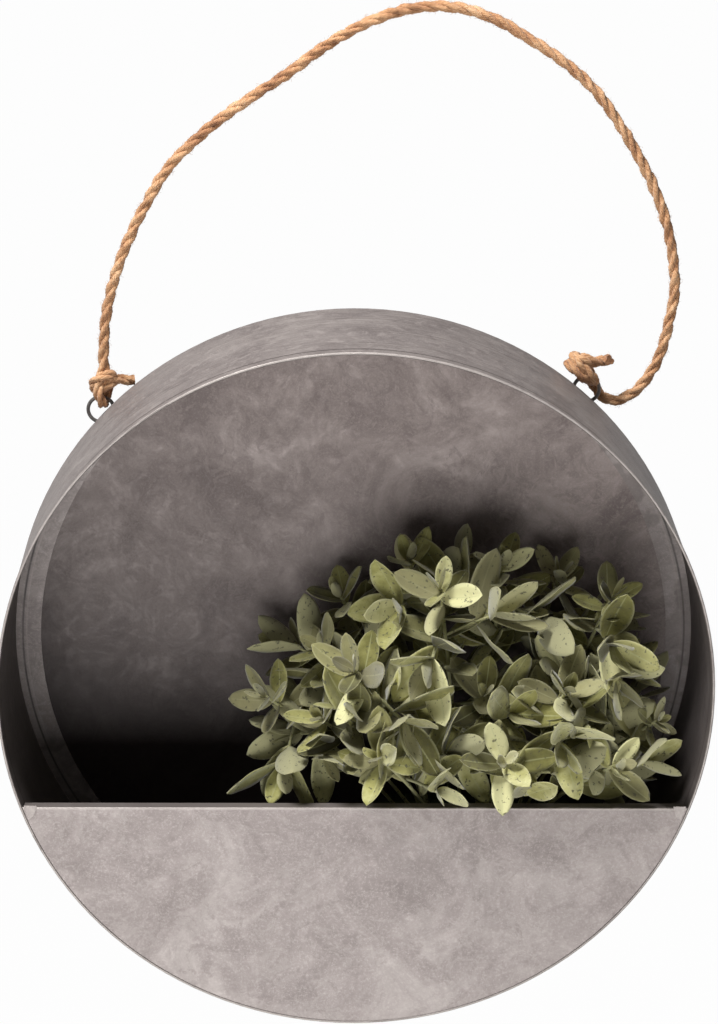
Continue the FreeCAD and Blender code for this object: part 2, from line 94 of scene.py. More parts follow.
def spot(x, height, out=0.0):
    """A place on the planter, in metres from the hook."""
    return Vector(((x - HOOK_X) * MM, -out * MM, (height - HOOK_HEIGHT) * MM))


def linear(hex_colour):
    """A colour as it looks on a screen, turned into linear light."""
    channels = [int(hex_colour[i : i + 2], 16) / 255 for i in (1, 3, 5)]
    curve = [c / 12.92 if c <= 0.04045 else ((c + 0.055) / 1.055) ** 2.4 for c in channels]
    return (*curve, 1.0)


def link(name, data):
    """A new object in the scene."""
    made = bpy.data.objects.new(name, data)
    bpy.context.scene.collection.objects.link(made)
    return made


print("the drum's centre lies at", tuple(round(c, 4) for c in spot(0, 0)))


# %% [markdown]
# ## Nodes in a few words
# Materials and shapes are both built from nodes. These helpers add a node with its settings and
# links in one line, and the names say what it does: `calc` is arithmetic, `remap` stretches a
# range of numbers, `noise` is a cloudy pattern whose patches are so many millimetres across,
# and `blend` lays one colour over another.

# %% Node helpers
def add(tree, kind, sockets=None, **settings):
    """Adds a node. A socket takes a value, or another node's output as a link."""
    node = tree.nodes.new(kind)
    for name, value in settings.items():
        setattr(node, name, value)
    for name, value in (sockets or {}).items():
        if isinstance(value, bpy.types.NodeSocket):
            tree.links.new(value, node.inputs[name])
        else:
            node.inputs[name].default_value = value
    return node


def first(tree, kind, sockets=None, **settings):
    """Adds a node and gives its first output."""
    return add(tree, kind, sockets, **settings).outputs[0]


def calc(tree, operation, *values, **settings):
    return first(tree, "ShaderNodeMath", dict(enumerate(values)), operation=operation, **settings)


def remap(tree, value, start, end, low=0.0, high=1.0):
    return first(tree, "ShaderNodeMapRange", {
        "Value": value, "From Min": start, "From Max": end, "To Min": low, "To Max": high})


def noise(tree, vector, size, detail, roughness=0.5, distortion=0.0):
    return first(tree, "ShaderNodeTexNoise", {
        "Vector": vector, "Scale": 1000 / size, "Detail": detail, "Roughness": roughness,
        "Distortion": distortion})


def ramp(tree, value, stops):
    """Colours along a number: each stop is (number, hex colour)."""
    node = add(tree, "ShaderNodeValToRGB", {"Fac": value})
    elements = node.color_ramp.elements
    while len(elements) < len(stops):
        elements.new(0.5)
    for element, (position, tint) in zip(elements, stops):
        element.position = position
        element.color = linear(tint)
    return node.outputs[0]


def blend(tree, factor, under, over):
    """A hex colour laid over another node's colour."""
    node = add(tree, "ShaderNodeMix", {"Factor": factor, 6: under, 7: linear(over)}, data_type="RGBA")
    return node.outputs[2]


def axis_of(tree, place, axis):
    """One coordinate of a place: 0, 1 or 2 for X, Y or Z."""
    return add(tree, "ShaderNodeSeparateXYZ", {"Vector": place}).outputs[axis]


# %% [markdown]
# ## Materials in a few words
# Each material starts empty and ends in one shader. Patterns read the object's own coordinates,
# so they stay where they are when the piece moves, or numbers that are stored on its mesh.

# %% Material helpers
def new_material(name):
    """An empty material, its tree, and the object's own coordinates."""
    material = bpy.data.materials.new(name)
    material.use_nodes = True
    tree = material.node_tree
    tree.nodes.clear()
    return material, tree, add(tree, "ShaderNodeTexCoord").outputs["Object"]


def stored(tree, name):
    """A number that is stored on the mesh."""
    return add(tree, "ShaderNodeAttribute", attribute_name=name).outputs["Fac"]


def relief(tree, height, strength, depth, under=None):
    """Fine relief in the shading; depth is in millimetres."""
    sockets = {"Height": height, "Strength": strength, "Distance": depth * MM}
    if under is not None:
        sockets["Normal"] = under
    return first(tree, "ShaderNodeBump", sockets)


def show(tree, shader):
    add(tree, "ShaderNodeOutputMaterial", {"Surface": shader})


def surface(tree, colour, roughness, normal, **more):
    """The material's shader. Further sockets are named with an underscore for each space."""
    sockets = {"Base Color": colour, "Roughness": roughness, "Normal": normal}
    sockets.update({name.replace("_", " "): value for name, value in more.items()})
    show(tree, first(tree, "ShaderNodeBsdfPrincipled", sockets))


# %% [markdown]
# ## The camera
# The photograph was taken from a little above, almost straight on, with a long lens. The
# planter's outlines fix the angles: a circle seen from above turns into an ellipse, and how
# flat it is gives the elevation. The lens follows from how much the far edge shrinks.

# %% Camera
AZIMUTH, ELEVATION, ROLL = (math.radians(a) for a in (1.0, 17.84, 0.47))
DISTANCE = 1.7462
LOOKS_AT = spot(2.43, 76.82)
SENSOR = 36
FOCAL_PIXELS, PICTURE_PIXELS = 2998.1, 1024

level = Vector((math.cos(AZIMUTH), -math.sin(AZIMUTH), 0))
ahead = Vector((math.sin(AZIMUTH), math.cos(AZIMUTH), 0))
forward = ahead * math.cos(ELEVATION) - Vector((0, 0, math.sin(ELEVATION)))
upward = level.cross(forward)
right = level * math.cos(ROLL) + upward * math.sin(ROLL)
upward = upward * math.cos(ROLL) - level * math.sin(ROLL)
camera = link("camera", bpy.data.cameras.new("camera"))
turned = Matrix((right, upward, -forward)).transposed().to_4x4()
camera.matrix_world = Matrix.Translation(LOOKS_AT - forward * DISTANCE) @ turned
camera.data.lens = FOCAL_PIXELS / PICTURE_PIXELS * SENSOR
camera.data.sensor_width = SENSOR
camera.data.clip_start = 0.05
bpy.context.scene.camera = camera
bpy.context.scene.view_settings.view_transform = "Standard"
print("camera: lens", round(camera.data.lens, 1), "mm")


# %% [markdown]
# ## The rope's line
# The rope is one fixed length of soft jute cord. Its two ends show, so its length is the
# photograph's own. The line is a smooth NURBS curve through a handful of points, and all that
# lies on it, such as the strands, reads its points from that one curve. Each knot is a line of
# its own: from the rope's end through the wire ring, round the rope, and out in a short tail.

# %% Rope line
ROPE_ROUTE = [
    (-144.4, 161.5, 0.0), (-144.6, 178.0, 0.0), (-142.0, 200.0, 0.0), (-134.5, 226.0, 0.0),
    (-123.0, 252.0, 0.0), (-106.5, 281.0, 0.0), (-86.0, 300.0, 0.0), (-66.0, 315.5, 0.0),
    (-41.0, 331.5, 0.0), (-16.0, 350.5, 0.0), (13.0, 366.0, 0.0), (43.0, 372.0, 0.0),
    (70.0, 367.0, 0.0), (98.0, 351.5, 0.0), (129.0, 329.5, 0.0), (147.0, 305.0, 0.0),
    (160.0, 284.0, 0.0), (171.5, 261.0, 0.0), (179.0, 235.0, 0.0), (182.0, 210.0, 0.0),
    (178.0, 187.0, 0.0), (173.5, 168.0, -0.3), (165.0, 153.5, -1.0), (154.5, 144.5, -2.6),
    (145.5, 143.2, -4.8), (140.0, 147.5, -5.8),
]
LEFT_KNOT = [
    (-144.4, 164.5, 0.0), (-145.6, 159.0, 1.6), (-147.6, 153.8, 4.0), (-147.4, 147.8, 5.4),
    (-145.8, 142.6, 3.8), (-144.8, 141.4, -0.8), (-144.2, 144.8, -4.8), (-141.6, 151.8, -5.6),
    (-139.4, 157.6, -2.2), (-141.2, 159.6, 2.6), (-146.2, 158.8, 4.8), (-150.6, 155.2, 2.4),
    (-150.4, 150.6, -1.8), (-145.8, 150.8, 1.2), (-142.0, 154.6, 2.8), (-137.6, 155.8, -2.2),
    (-131.4, 154.4, -5.6), (-127.0, 154.6, -6.0),
]
RIGHT_KNOT = [
    (141.6, 146.2, -5.5), (138.2, 150.8, -6.4), (135.4, 156.4, -7.0), (131.6, 163.4, -6.6),
    (127.4, 169.6, -4.0), (124.4, 172.0, 1.6), (126.6, 169.8, 6.4), (132.6, 163.8, 7.8),
    (136.6, 158.4, 5.4), (136.2, 155.6, 0.2), (132.4, 157.6, -4.6), (125.4, 163.4, -4.4),
    (121.2, 167.6, 0.0), (123.4, 166.6, 5.6), (129.0, 161.8, 7.8), (133.4, 157.8, 5.2),
    (135.2, 159.8, 0.4), (131.2, 166.4, 0.8), (127.4, 171.6, 4.4), (131.0, 171.6, 6.8),
    (136.0, 168.4, 5.0), (140.2, 168.6, 2.4), (143.4, 170.6, 3.6), (144.6, 170.8, 8.2),
]


def nurbs(name, points, swells=None):
    """A smooth line through the planter's places; a swell makes it thicker at a point."""
    curve = bpy.data.curves.new(name, "CURVE")
    curve.dimensions = "3D"
    spline = curve.splines.new("NURBS")
    spline.points.add(len(points) - 1)
    for i, (point, place) in enumerate(zip(spline.points, points)):
        point.co = (*spot(*place), 1.0)
        point.radius = (swells or {}).get(i, 1.0)
    spline.order_u = 3
    spline.use_endpoint_u = True
    spline.resolution_u = 12
    return link(name, curve)


def line_points(curve):
    """The points along a line, read from its own spline."""
    graph = bpy.context.evaluated_depsgraph_get()
    mesh = bpy.data.meshes.new_from_object(curve.evaluated_get(graph))
    points = [v.co.copy() for v in mesh.vertices]
    bpy.data.meshes.remove(mesh)
    return points


rope_line = nurbs("rope_line", ROPE_ROUTE)
rope_path = line_points(rope_line)
rope_length = sum((b - a).length for a, b in zip(rope_path, rope_path[1:]))
bpy.data.objects.remove(rope_line)
print("rope: length", round(rope_length, 4), "m")


# %% [markdown]
# ## Jute
# Jute is a plant fibre, combed and spun loosely, so the rope is hairy and its colour runs from
# straw to brown. The fibres lie at a slant to the rope, and the pattern has to follow them, so
# it reads two numbers stored on the mesh: how far along the rope, and how far round a strand.

# %% Jute material
FIBRES_ROUND, FIBRE_RUN, FIBRE_SLANT = 22.0, 260.0, 95.0
FIBRE_SHARE, PATCH_SHARE = 0.62, 0.38

jute, tree, place = new_material("spun_jute")
along, around = stored(tree, "along"), stored(tree, "around")
turn = calc(tree, "ADD", around, calc(tree, "MULTIPLY", along, FIBRE_SLANT))
weave = first(tree, "ShaderNodeCombineXYZ", {
    "X": calc(tree, "MULTIPLY", turn, FIBRES_ROUND), "Y": calc(tree, "MULTIPLY", along, FIBRE_RUN)})
fibres = noise(tree, weave, 1000, 4.0, 0.65)
patches = noise(tree, place, 14, 3.0)
mixed = calc(tree, "MULTIPLY", fibres, FIBRE_SHARE)
mixed = calc(tree, "MULTIPLY_ADD", patches, PATCH_SHARE, mixed)
tint = ramp(tree, mixed, [(0.36, "#76482c"), (0.45, "#a8744a"), (0.54, "#cd9c6f"), (0.68, "#ecc8a0")])
surface(tree, tint, 0.86, relief(tree, fibres, 0.55, 0.6), Sheen_Weight=0.25, Sheen_Roughness=0.6)
print("made", jute.name)


# %% [markdown]
# ## A tree that leaves a plain mesh
# A Geometry Nodes tree is a recipe: it takes a line or some points and grows a shape from them.
# The result is turned into an ordinary mesh at once, because that is what can be measured and moved
# with its body.

# %% Trees
def tree_with(name, inputs):
    """A Geometry Nodes tree with its named inputs: (name, kind, value)."""
    group = bpy.data.node_groups.new(name, "GeometryNodeTree")
    for way in ("INPUT", "OUTPUT"):
        group.interface.new_socket("Geometry", in_out=way, socket_type="NodeSocketGeometry")
    for label, kind, value in inputs:
        socket = group.interface.new_socket(label, in_out="INPUT", socket_type=kind)
        if value is not None:
            socket.default_value = value
    return group, group.nodes.new("NodeGroupInput").outputs


def named(tree, name, kind):
    """An attribute of the points, by name."""
    return first(tree, "GeometryNodeInputNamedAttribute", {"Name": name}, data_type=kind)


def finish_tree(tree, shapes, material):
    """Joins the shapes, makes them real, smooth and painted, and ends the tree."""
    both = add(tree, "GeometryNodeJoinGeometry")
    for shape in shapes:
        tree.links.new(shape, both.inputs[0])
    whole = first(tree, "GeometryNodeRealizeInstances", {"Geometry": both.outputs[0]})
    smooth = first(tree, "GeometryNodeSetShadeSmooth", {"Geometry": whole})
    painted = first(tree, "GeometryNodeSetMaterial", {"Geometry": smooth, "Material": material})
    add(tree, "NodeGroupOutput", {"Geometry": painted})


def run_tree(source, group, name, **values):
    """Runs a tree on an object and keeps the result as a plain mesh at the origin."""
    modifier = source.modifiers.new("tree", "NODES")
    modifier.node_group = group
    for item in group.interface.items_tree:
        if item.in_out == "INPUT" and item.name in values:
            modifier[item.identifier] = values[item.name]
    graph = bpy.context.evaluated_depsgraph_get()
    mesh = bpy.data.meshes.new_from_object(
        source.evaluated_get(graph), preserve_all_data_layers=True, depsgraph=graph)
    mesh.name = name
    source.modifiers.clear()
    made = link(name, mesh)
    bpy.data.objects.remove(source)
    print(name, "faces", len(mesh.polygons))
    return made


def claim(piece, body, node):
    """Says which body a piece moves with, and hides the solid that it stands for."""
    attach(piece, body)
    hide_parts(node)


# %% [markdown]
# ## A twisted rope from one line
# Three strands wind round each other. Sweeping a profile of three small circles along the line,
# and turning it steadily as it goes, gives all three strands at once. A ripple across each
# strand stands for its yarns, and slow lumps for the uneven spinning. Modelling the strands one
# by one would need three more curves that have to be kept in step with the first.

# %% Rope tree: strands
STRAND_RADIUS, STRAND_OFFSET, LAY, STEP = 1.72, 1.5, 30.0, 0.8
HAIRS_ON_ROPE, HAIRS_ON_KNOT = 190000.0, 60000.0
YARNS, YARN_TURNS_PER_M, YARN_DEPTH = 5.0, 300.0, 0.14
LUMP_SIZE, LUMP_DEPTH = 7, 2.2

rope_tree, given = tree_with("twisted_rope", [
    ("Strand radius", "NodeSocketFloat", STRAND_RADIUS * MM),
    ("Strand offset", "NodeSocketFloat", STRAND_OFFSET * MM),
    ("Lay length", "NodeSocketFloat", LAY * MM),
    ("Step", "NodeSocketFloat", STEP * MM),
    ("Hairs per m2", "NodeSocketFloat", HAIRS_ON_ROPE),
    ("Seed", "NodeSocketInt", 3),
])
t = rope_tree
fine = first(t, "GeometryNodeResampleCurve", {
    "Curve": given["Geometry"], "Length": given["Step"]}, mode="LENGTH")
length = add(t, "GeometryNodeSplineParameter").outputs["Length"]
angle = calc(t, "MULTIPLY", calc(t, "DIVIDE", length, given["Lay length"]), math.tau)
tilted = first(t, "GeometryNodeSetCurveTilt", {"Curve": fine, "Tilt": angle})
marked = first(t, "GeometryNodeStoreNamedAttribute", {
    "Geometry": tilted, "Name": "along", "Value": length}, domain="POINT")
corners = first(t, "GeometryNodeCurvePrimitiveCircle", {"Resolution": 3, "Radius": given["Strand offset"]})
strand = first(t, "GeometryNodeCurvePrimitiveCircle", {"Resolution": 16, "Radius": given["Strand radius"]})
factor = add(t, "GeometryNodeSplineParameter").outputs["Factor"]
strand = first(t, "GeometryNodeStoreNamedAttribute", {
    "Geometry": strand, "Name": "around", "Value": factor}, domain="POINT")
three = first(t, "GeometryNodeInstanceOnPoints", {"Points": corners, "Instance": strand})
three = first(t, "GeometryNodeRealizeInstances", {"Geometry": three})
swept = first(t, "GeometryNodeCurveToMesh", {"Curve": marked, "Profile Curve": three, "Fill Caps": True})
phase = calc(t, "MULTIPLY", named(t, "around", "FLOAT"), YARNS * math.tau)
phase = calc(t, "MULTIPLY_ADD", named(t, "along", "FLOAT"), -YARN_TURNS_PER_M * math.tau, phase)
lump = calc(t, "ADD", noise(t, first(t, "GeometryNodeInputPosition"), LUMP_SIZE, 3.0), -0.5)
rise = calc(t, "MULTIPLY", calc(t, "SINE", phase), YARN_DEPTH * MM)
rise = calc(t, "MULTIPLY_ADD", lump, LUMP_DEPTH * MM, rise)
push = first(t, "ShaderNodeVectorMath", {
    0: first(t, "GeometryNodeInputNormal"), "Scale": rise}, operation="SCALE")
rough = first(t, "GeometryNodeSetPosition", {"Geometry": swept, "Offset": push})
print("rope: one turn of a strand every", LAY, "mm")


# %% [markdown]
# ## Loose hairs
# Short fibre ends stand out from jute all over. One bent hair is scattered over the strands by
# area, each turned and sized at random from a fixed seed, so every run gives the same rope.

# %% Rope tree: hairs
HAIR_START, HAIR_END = (0, 0, 0), (0.0025, 0.0005, 0.0007)
HAIR_BEND = ((0.0010, 0.0, 0.0006), (0.0017, 0.0003, 0.0008))
HAIR_RADIUS = 0.055
SMALLEST_HAIR, LARGEST_HAIR = 0.35, 1.1

seats = add(t, "GeometryNodeDistributePointsOnFaces", {
    "Mesh": rough, "Density": given["Hairs per m2"], "Seed": given["Seed"]})
hair_line = first(t, "GeometryNodeCurvePrimitiveBezierSegment", {
    "Resolution": 4, "Start": HAIR_START, "Start Handle": HAIR_BEND[0], "End Handle": HAIR_BEND[1],
    "End": HAIR_END})
thin = first(t, "GeometryNodeCurvePrimitiveCircle", {"Resolution": 3, "Radius": HAIR_RADIUS * MM})
hair = first(t, "GeometryNodeCurveToMesh", {"Curve": hair_line, "Profile Curve": thin})
spin = first(t, "FunctionNodeRandomValue", {
    0: (-0.2, -0.25, 0.0), 1: (0.2, 0.1, 6.28), "Seed": 5}, data_type="FLOAT_VECTOR")
spin = first(t, "FunctionNodeRotateRotation", {
    "Rotation": seats.outputs["Rotation"], "Rotate By": spin}, rotation_space="LOCAL")
grow = add(t, "FunctionNodeRandomValue", {
    2: SMALLEST_HAIR, 3: LARGEST_HAIR, "Seed": 8}, data_type="FLOAT").outputs[1]
hairs = first(t, "GeometryNodeInstanceOnPoints", {
    "Points": seats.outputs["Points"], "Instance": hair, "Rotation": spin, "Scale": grow})
finish_tree(t, (hairs, rough), jute)
print("rope tree:", len(t.nodes), "nodes")


# %% [markdown]
# ## Rope and knots
# A soft rope isn't even: it swells where the strands open at a bend. The same tree makes the
# free rope and both knots, so they match. In the knots the rope is a little thicker where it is
# squeezed, and thinner where it passes through the ring.

# %% Rope and knots
SWELLS = {7: 1.2, 13: 1.12, 4: 1.06, 16: 0.95}
KNOT_SWELL = {"left": 1.05, "right": 1.12}
RING_PASS = {"left": (4, 5, 14, 15, 16, 17), "right": (9, 10)}
RING_PASS_SWELL = 0.85

rope = run_tree(nurbs("rope_source", ROPE_ROUTE, SWELLS), rope_tree, "jute_rope")
claim(rope, "rope", "rope_span")
for side, route_now in (("left", LEFT_KNOT), ("right", RIGHT_KNOT)):
    thickness = {i: KNOT_SWELL[side] for i in range(2, len(route_now) - 3)}
    thickness.update({i: RING_PASS_SWELL for i in RING_PASS[side]})
    source = nurbs("knot_source", route_now, thickness)
    knot = run_tree(source, rope_tree, f"jute_knot_{side}", **{"Seed": 11, "Hairs per m2": HAIRS_ON_KNOT})
    claim(knot, "rope", f"rope_knot_{side}")
[tuple(p) for p in rope_path]


# %% [markdown]
# ## Zinc-coated sheet
# The drum is thin steel with a zinc coat that has gone dull, on purpose, in an acid bath. That
# leaves warm grey clouds, fine pale specks where the zinc's crystals lie, and streaks along the
# way the sheet went through the rollers. All of it comes from noise on object coordinates, with
# each pattern's size in millimetres, so it would fit a planter of any size.

# %% Zinc patterns
SPECK_COLOUR = "#c4bcb7"


def zinc_patterns(tree, place, streak):
    """The five patterns of weathered zinc. The streaks are noise, squeezed along each axis."""
    moved = first(tree, "ShaderNodeMapping", {"Vector": place, "Location": (0.31, 0.17, 0.23)})
    pulled = first(tree, "ShaderNodeMapping", {"Vector": place, "Scale": streak})
    return {
        "clouds": noise(tree, place, 48, 8.0, 0.7, 0.9),
        "frost": noise(tree, place, 16, 9.0, 0.74, 2.0),
        "stains": noise(tree, moved, 24, 9.0, 0.72, 1.5),
        "streaks": noise(tree, pulled, 1000, 5.0, 0.7),
        "grain": noise(tree, place, 1.3, 3.0, 0.8),
    }


def zinc_tint(tree, marks, tones, streak_depth, speck):
    """Dark, middle and light zinc in clouds and streaks, then stains, frost and specks on top."""
    dark, middle, light = tones
    level = calc(tree, "MULTIPLY", marks["clouds"], 1.0 - streak_depth)
    level = calc(tree, "MULTIPLY_ADD", marks["streaks"], streak_depth, level)
    tint = ramp(tree, level, [(0.38, dark), (0.5, middle), (0.64, light)])
    tint = blend(tree, remap(tree, marks["stains"], 0.53, 0.6, 0.0, 0.55), tint, dark)
    tint = blend(tree, remap(tree, marks["frost"], 0.52, 0.6, 0.0, 0.5), tint, light)
    return blend(tree, remap(tree, marks["grain"], 0.5, 0.7, 0.0, speck), tint, SPECK_COLOUR)


# %% [markdown]
# ## Wear, painted highlights, painted shadow and painted shade
# Where hands and cloths rub an edge, the zinc is brighter, and the same bright colour also stands
# for a painted highlight on that edge. Beside a folded hem a dark strip is painted shadow, and towards
# the foot and the left of the back the zinc is darkened with painted shade. Each is one more colour, laid
# over the tint where a coordinate says so, and broken up by the patterns that are there already.

# %% Wear, painted highlights, painted shadow and painted shade
# Colours: bright wear that also paints a highlight on an edge, a painted shadow beside a hem, and painted
# shade towards the back's foot.
WORN_AND_HIGHLIGHT, PAINTED_SHADOW, PAINTED_SHADE = "#c2bab4", "#4f4745", "#1f1615"
PAINTED_SHADOW_DEPTH, PAINTED_SHADOW_EDGE, PAINTED_SHADE_DEPTH = 0.75, 0.3, 0.88
RAGGED_REACH = 0.08


def worn_and_highlit_edge(tree, tint, place, marks, axis, start, end):
    """Bright streaks of wear that also stand for a painted highlight, growing from start to end along an
    axis, in metres.
    """
    worn_and_lit = remap(tree, axis_of(tree, place, axis), start, end)
    worn_and_lit = calc(tree, "MULTIPLY", worn_and_lit, marks["streaks"])
    return blend(tree, calc(tree, "MULTIPLY", worn_and_lit, 1.1), tint, WORN_AND_HIGHLIGHT)


def painted_shadow_strip(tree, tint, place, start, end):
    """Painted shadow between two depths, in metres."""
    half = abs(end - start) / 2
    off = calc(tree, "SUBTRACT", axis_of(tree, place, 1), (start + end) / 2)
    inside = remap(tree, calc(tree, "ABSOLUTE", off), half, half - PAINTED_SHADOW_EDGE * MM)
    return blend(tree, calc(tree, "MULTIPLY", inside, PAINTED_SHADOW_DEPTH), tint, PAINTED_SHADOW)


def painted_shade_towards(tree, tint, place, marks, direction, unshaded, dark):
    """Painted shade that deepens along a direction, in metres, with a ragged front."""
    reach = add(tree, "ShaderNodeVectorMath", {0: place, 1: direction}, operation="DOT_PRODUCT")
    front = calc(tree, "MULTIPLY_ADD", marks["stains"], RAGGED_REACH, reach.outputs["Value"])
    middle = RAGGED_REACH / 2
    depth = remap(tree, front, unshaded + middle, dark + middle, 0.0, PAINTED_SHADE_DEPTH)
    return blend(tree, depth, tint, PAINTED_SHADE)


# %% [markdown]
# ## The drum's inside
# Less light gets into the drum, so its inside is darkened with painted shade. The band is bent over at
# the back; the crease is drawn as a painted shadow with a painted highlight beside it, and the rollers
# left fine lines round the wall. Both crease lines are rings at a fixed radius, so they are drawn by the
# distance from the drum's own axis instead of by more geometry.

# %% The drum's inside
# The first colour is painted shade inside the drum. The first crease is a painted shadow in the bend, and
# the second is a painted highlight beside it.
INSIDE_SHADE, ROLLED = "#2b2422", "#5d5451"
CREASE_SHADOW_AND_HIGHLIGHT = ((194.6, 0.9, "#0d0908", 0.8), (192.4, 0.7, "#a89e99", 0.45))


def drum_radius(tree, place):
    """How far a place is from the drum's axis."""
    centre = spot(0, 0)
    flat = first(tree, "ShaderNodeVectorMath", {0: place, 1: (-centre.x, 0, -centre.z)}, operation="ADD")
    flat = first(tree, "ShaderNodeVectorMath", {0: flat, 1: (1, 0, 1)}, operation="MULTIPLY")
    return add(tree, "ShaderNodeVectorMath", {0: flat}, operation="LENGTH").outputs["Value"]


def drum_inside(tree, tint, place, marks):
    """Painted shade on the inside, a painted shadow and highlight at the crease round its back, and the
    rollers' lines.
    """
    radius = drum_radius(tree, place)
    inner = remap(tree, radius, 199.3 * MM, 198.9 * MM, 0.0, 0.62)
    deep = remap(tree, axis_of(tree, place, 1), -4.0 * MM, -6.0 * MM)
    tint = blend(tree, calc(tree, "MULTIPLY", inner, deep), tint, INSIDE_SHADE)
    for at, width, colour, strength in CREASE_SHADOW_AND_HIGHLIGHT:
        near = calc(tree, "ABSOLUTE", calc(tree, "SUBTRACT", radius, at * MM))
        line = remap(tree, near, width * MM, 0.2 * MM, 0.0, strength)
        broken = calc(tree, "MULTIPLY", line, marks["clouds"])
        tint = blend(tree, calc(tree, "MULTIPLY", broken, 1.7, use_clamp=True), tint, colour)
    return blend(tree, remap(tree, marks["streaks"], 0.54, 0.57, 0.0, 0.5), tint, ROLLED)


# %% [markdown]
# ## The zinc finishes
# One function makes every zinc and wire finish, and each sheet asks for what it shows: the band has
# streaks round its wall, a rubbed rim that also carries a painted highlight, a painted shadow line behind
# the rim and painted shade inside; the back's darker tones and its darkening towards the foot are painted
# shade; and the pocket's panel is paler, with its folded top edge rubbed and highlit and a painted shadow
# in its fold. Solder is brighter than the sheet, the wire is darker.

# %% Zinc materials
RIM_FRONT_Y = -103.85 * MM
PANEL_TOP_Z = spot(0, -65.4).z
EVEN = (1000 / 60, 1000 / 60, 1000 / 60)
ALONG_THE_BAND = (9, 1000 / 1.1, 9)
SHADE_WAY = (0.35, 0.0, 0.85)


def zinc(name, tones, streak=EVEN, streak_depth=0.2, speck=0.3, wear_and_highlight=None, hem_shadow=None, foot_shade=None,
         inside=False):
    """Weathered zinc in three tones, with its wear, painted highlight, painted shadow and painted shade."""
    material, tree, place = new_material(name)
    marks = zinc_patterns(tree, place, streak)
    tint = zinc_tint(tree, marks, tones, streak_depth, speck)
    if wear_and_highlight:
        tint = worn_and_highlit_edge(tree, tint, place, marks, *wear_and_highlight)
    if hem_shadow:
        tint = painted_shadow_strip(tree, tint, place, *hem_shadow)
    if foot_shade:
        tint = painted_shade_towards(tree, tint, place, marks, *foot_shade)
    if inside:
        tint = drum_inside(tree, tint, place, marks)
    roughness = remap(tree, marks["frost"], 0.35, 0.65, 0.5, 0.66)
    fine_relief = relief(tree, marks["grain"], 0.12, 0.3)
    waves = relief(tree, marks["clouds"], 0.2, 1.0, fine_relief)
    surface(tree, tint, roughness, waves, Metallic=0.3)
    print("made", name)
    return material


def shade_reach(height):
    """How far the painted shade's direction has got at a height on the drum's middle line."""
    return spot(0, height).dot(Vector(SHADE_WAY))


# The band's rubbed rim also paints a highlight, the strip behind the rim is a painted shadow line, and its
# inside is darkened with painted shade.
band_zinc = zinc("zinc_band", ("#7b7270", "#8f8683", "#a49b97"), ALONG_THE_BAND, 0.45, 0.25,
                 wear_and_highlight=(1, RIM_FRONT_Y + 0.9 * MM, RIM_FRONT_Y + 0.3 * MM),
                 hem_shadow=(RIM_FRONT_Y + 9.5 * MM, RIM_FRONT_Y + 11.5 * MM), inside=True)
# The back's darker tones are painted shade inside the drum, and its last argument paints shade that deepens
# towards the foot and the left.
back_zinc = zinc("zinc_back", ("#6b5f5c", "#847874", "#a19591"), speck=0.2,
                 foot_shade=(SHADE_WAY, shade_reach(140), shade_reach(-100)))
# The panel's rubbed top edge also paints a highlight, and the strip in its fold is painted shadow.
panel_zinc = zinc("zinc_panel", ("#857b78", "#978d8a", "#aea5a1"), speck=0.45,
                  wear_and_highlight=(2, PANEL_TOP_Z - 1.6 * MM, PANEL_TOP_Z - 0.6 * MM),
                  hem_shadow=(-102.7 * MM, -95.0 * MM))
solder = zinc("solder_patch", ("#8e8582", "#a69d99", "#c4bcb6"), speck=0.5)
wire = zinc("ring_wire", ("#4c4846", "#6a6663", "#8a8683"), speck=0.15)


# %% [markdown]
# ## Dressing the metal
# The sheet, the solder and the wire already have their true shape as solids, with their hems and
# folds, so each visible piece is a copy of its solid. The copy's loose facets are merged, its
# faces are shaded smoothly, and only real edges stay sharp.

# %% Sheet, solder and wire
SHARP_ANGLE = 35
MERGE_WITHIN = 1e-6


def dress(cad, material, name, body):
    """A merged, smoothly shaded copy of a solid, in its finish."""
    copy = link(name, nodes[cad].data.copy())
    mesh = copy.data
    shape = bmesh.new()
    shape.from_mesh(mesh)
    bmesh.ops.remove_doubles(shape, verts=shape.verts, dist=MERGE_WITHIN)
    shape.to_mesh(mesh)
    shape.free()
    if "custom_normal" in mesh.attributes:
        mesh.attributes.remove(mesh.attributes["custom_normal"])
    mesh.shade_smooth()
    mesh.set_sharp_from_angle(angle=math.radians(SHARP_ANGLE))
    mesh.materials.clear()
    mesh.materials.append(material)
    claim(copy, body, cad)
    print(name, "faces", len(mesh.polygons))


dress("rim_band", band_zinc, "zinc_rim", "planter")
dress("back_panel", back_zinc, "zinc_back_panel", "planter")
dress("front_panel", panel_zinc, "zinc_pocket", "planter")
for side in ("left", "right"):
    dress(f"corner_tab_{side}", solder, f"solder_tab_{side}", "planter")
    dress(f"ring_staple_{side}", wire, f"wire_staple_{side}", "planter")
    dress(f"ring_{side}", wire, f"wire_ring_{side}", "rings")


# %% [markdown]
# ## Felted leaves
# The leaves are covered in short pale hairs, like sage. That takes the shine off, greys the green, and
# makes the rims look pale, because there one looks along the hairs; that sheen is painted onto the rims
# as a paler colour. The pattern has to sit right on every leaf, so each leaf carries its own place
# across, which face is its underside, and how pale and how grey it is.

# %% Leaf material
felt, tree, place = new_material("felted_leaf")
mottle = noise(tree, place, 9, 5.0, 0.6)
nap = noise(tree, place, 0.9, 3.0, 0.8)
flecks = noise(tree, place, 2.4, 2.0, 0.5)
shade = calc(tree, "ADD", calc(tree, "MULTIPLY_ADD", mottle, 0.9, -0.45), stored(tree, "leaf_shade"))
tint = ramp(tree, shade, [(0.0, "#504d26"), (0.35, "#78753d"), (0.65, "#a19e5f"), (1.0, "#d2cf9b")])
edge = calc(tree, "ABSOLUTE", stored(tree, "leaf_across"))
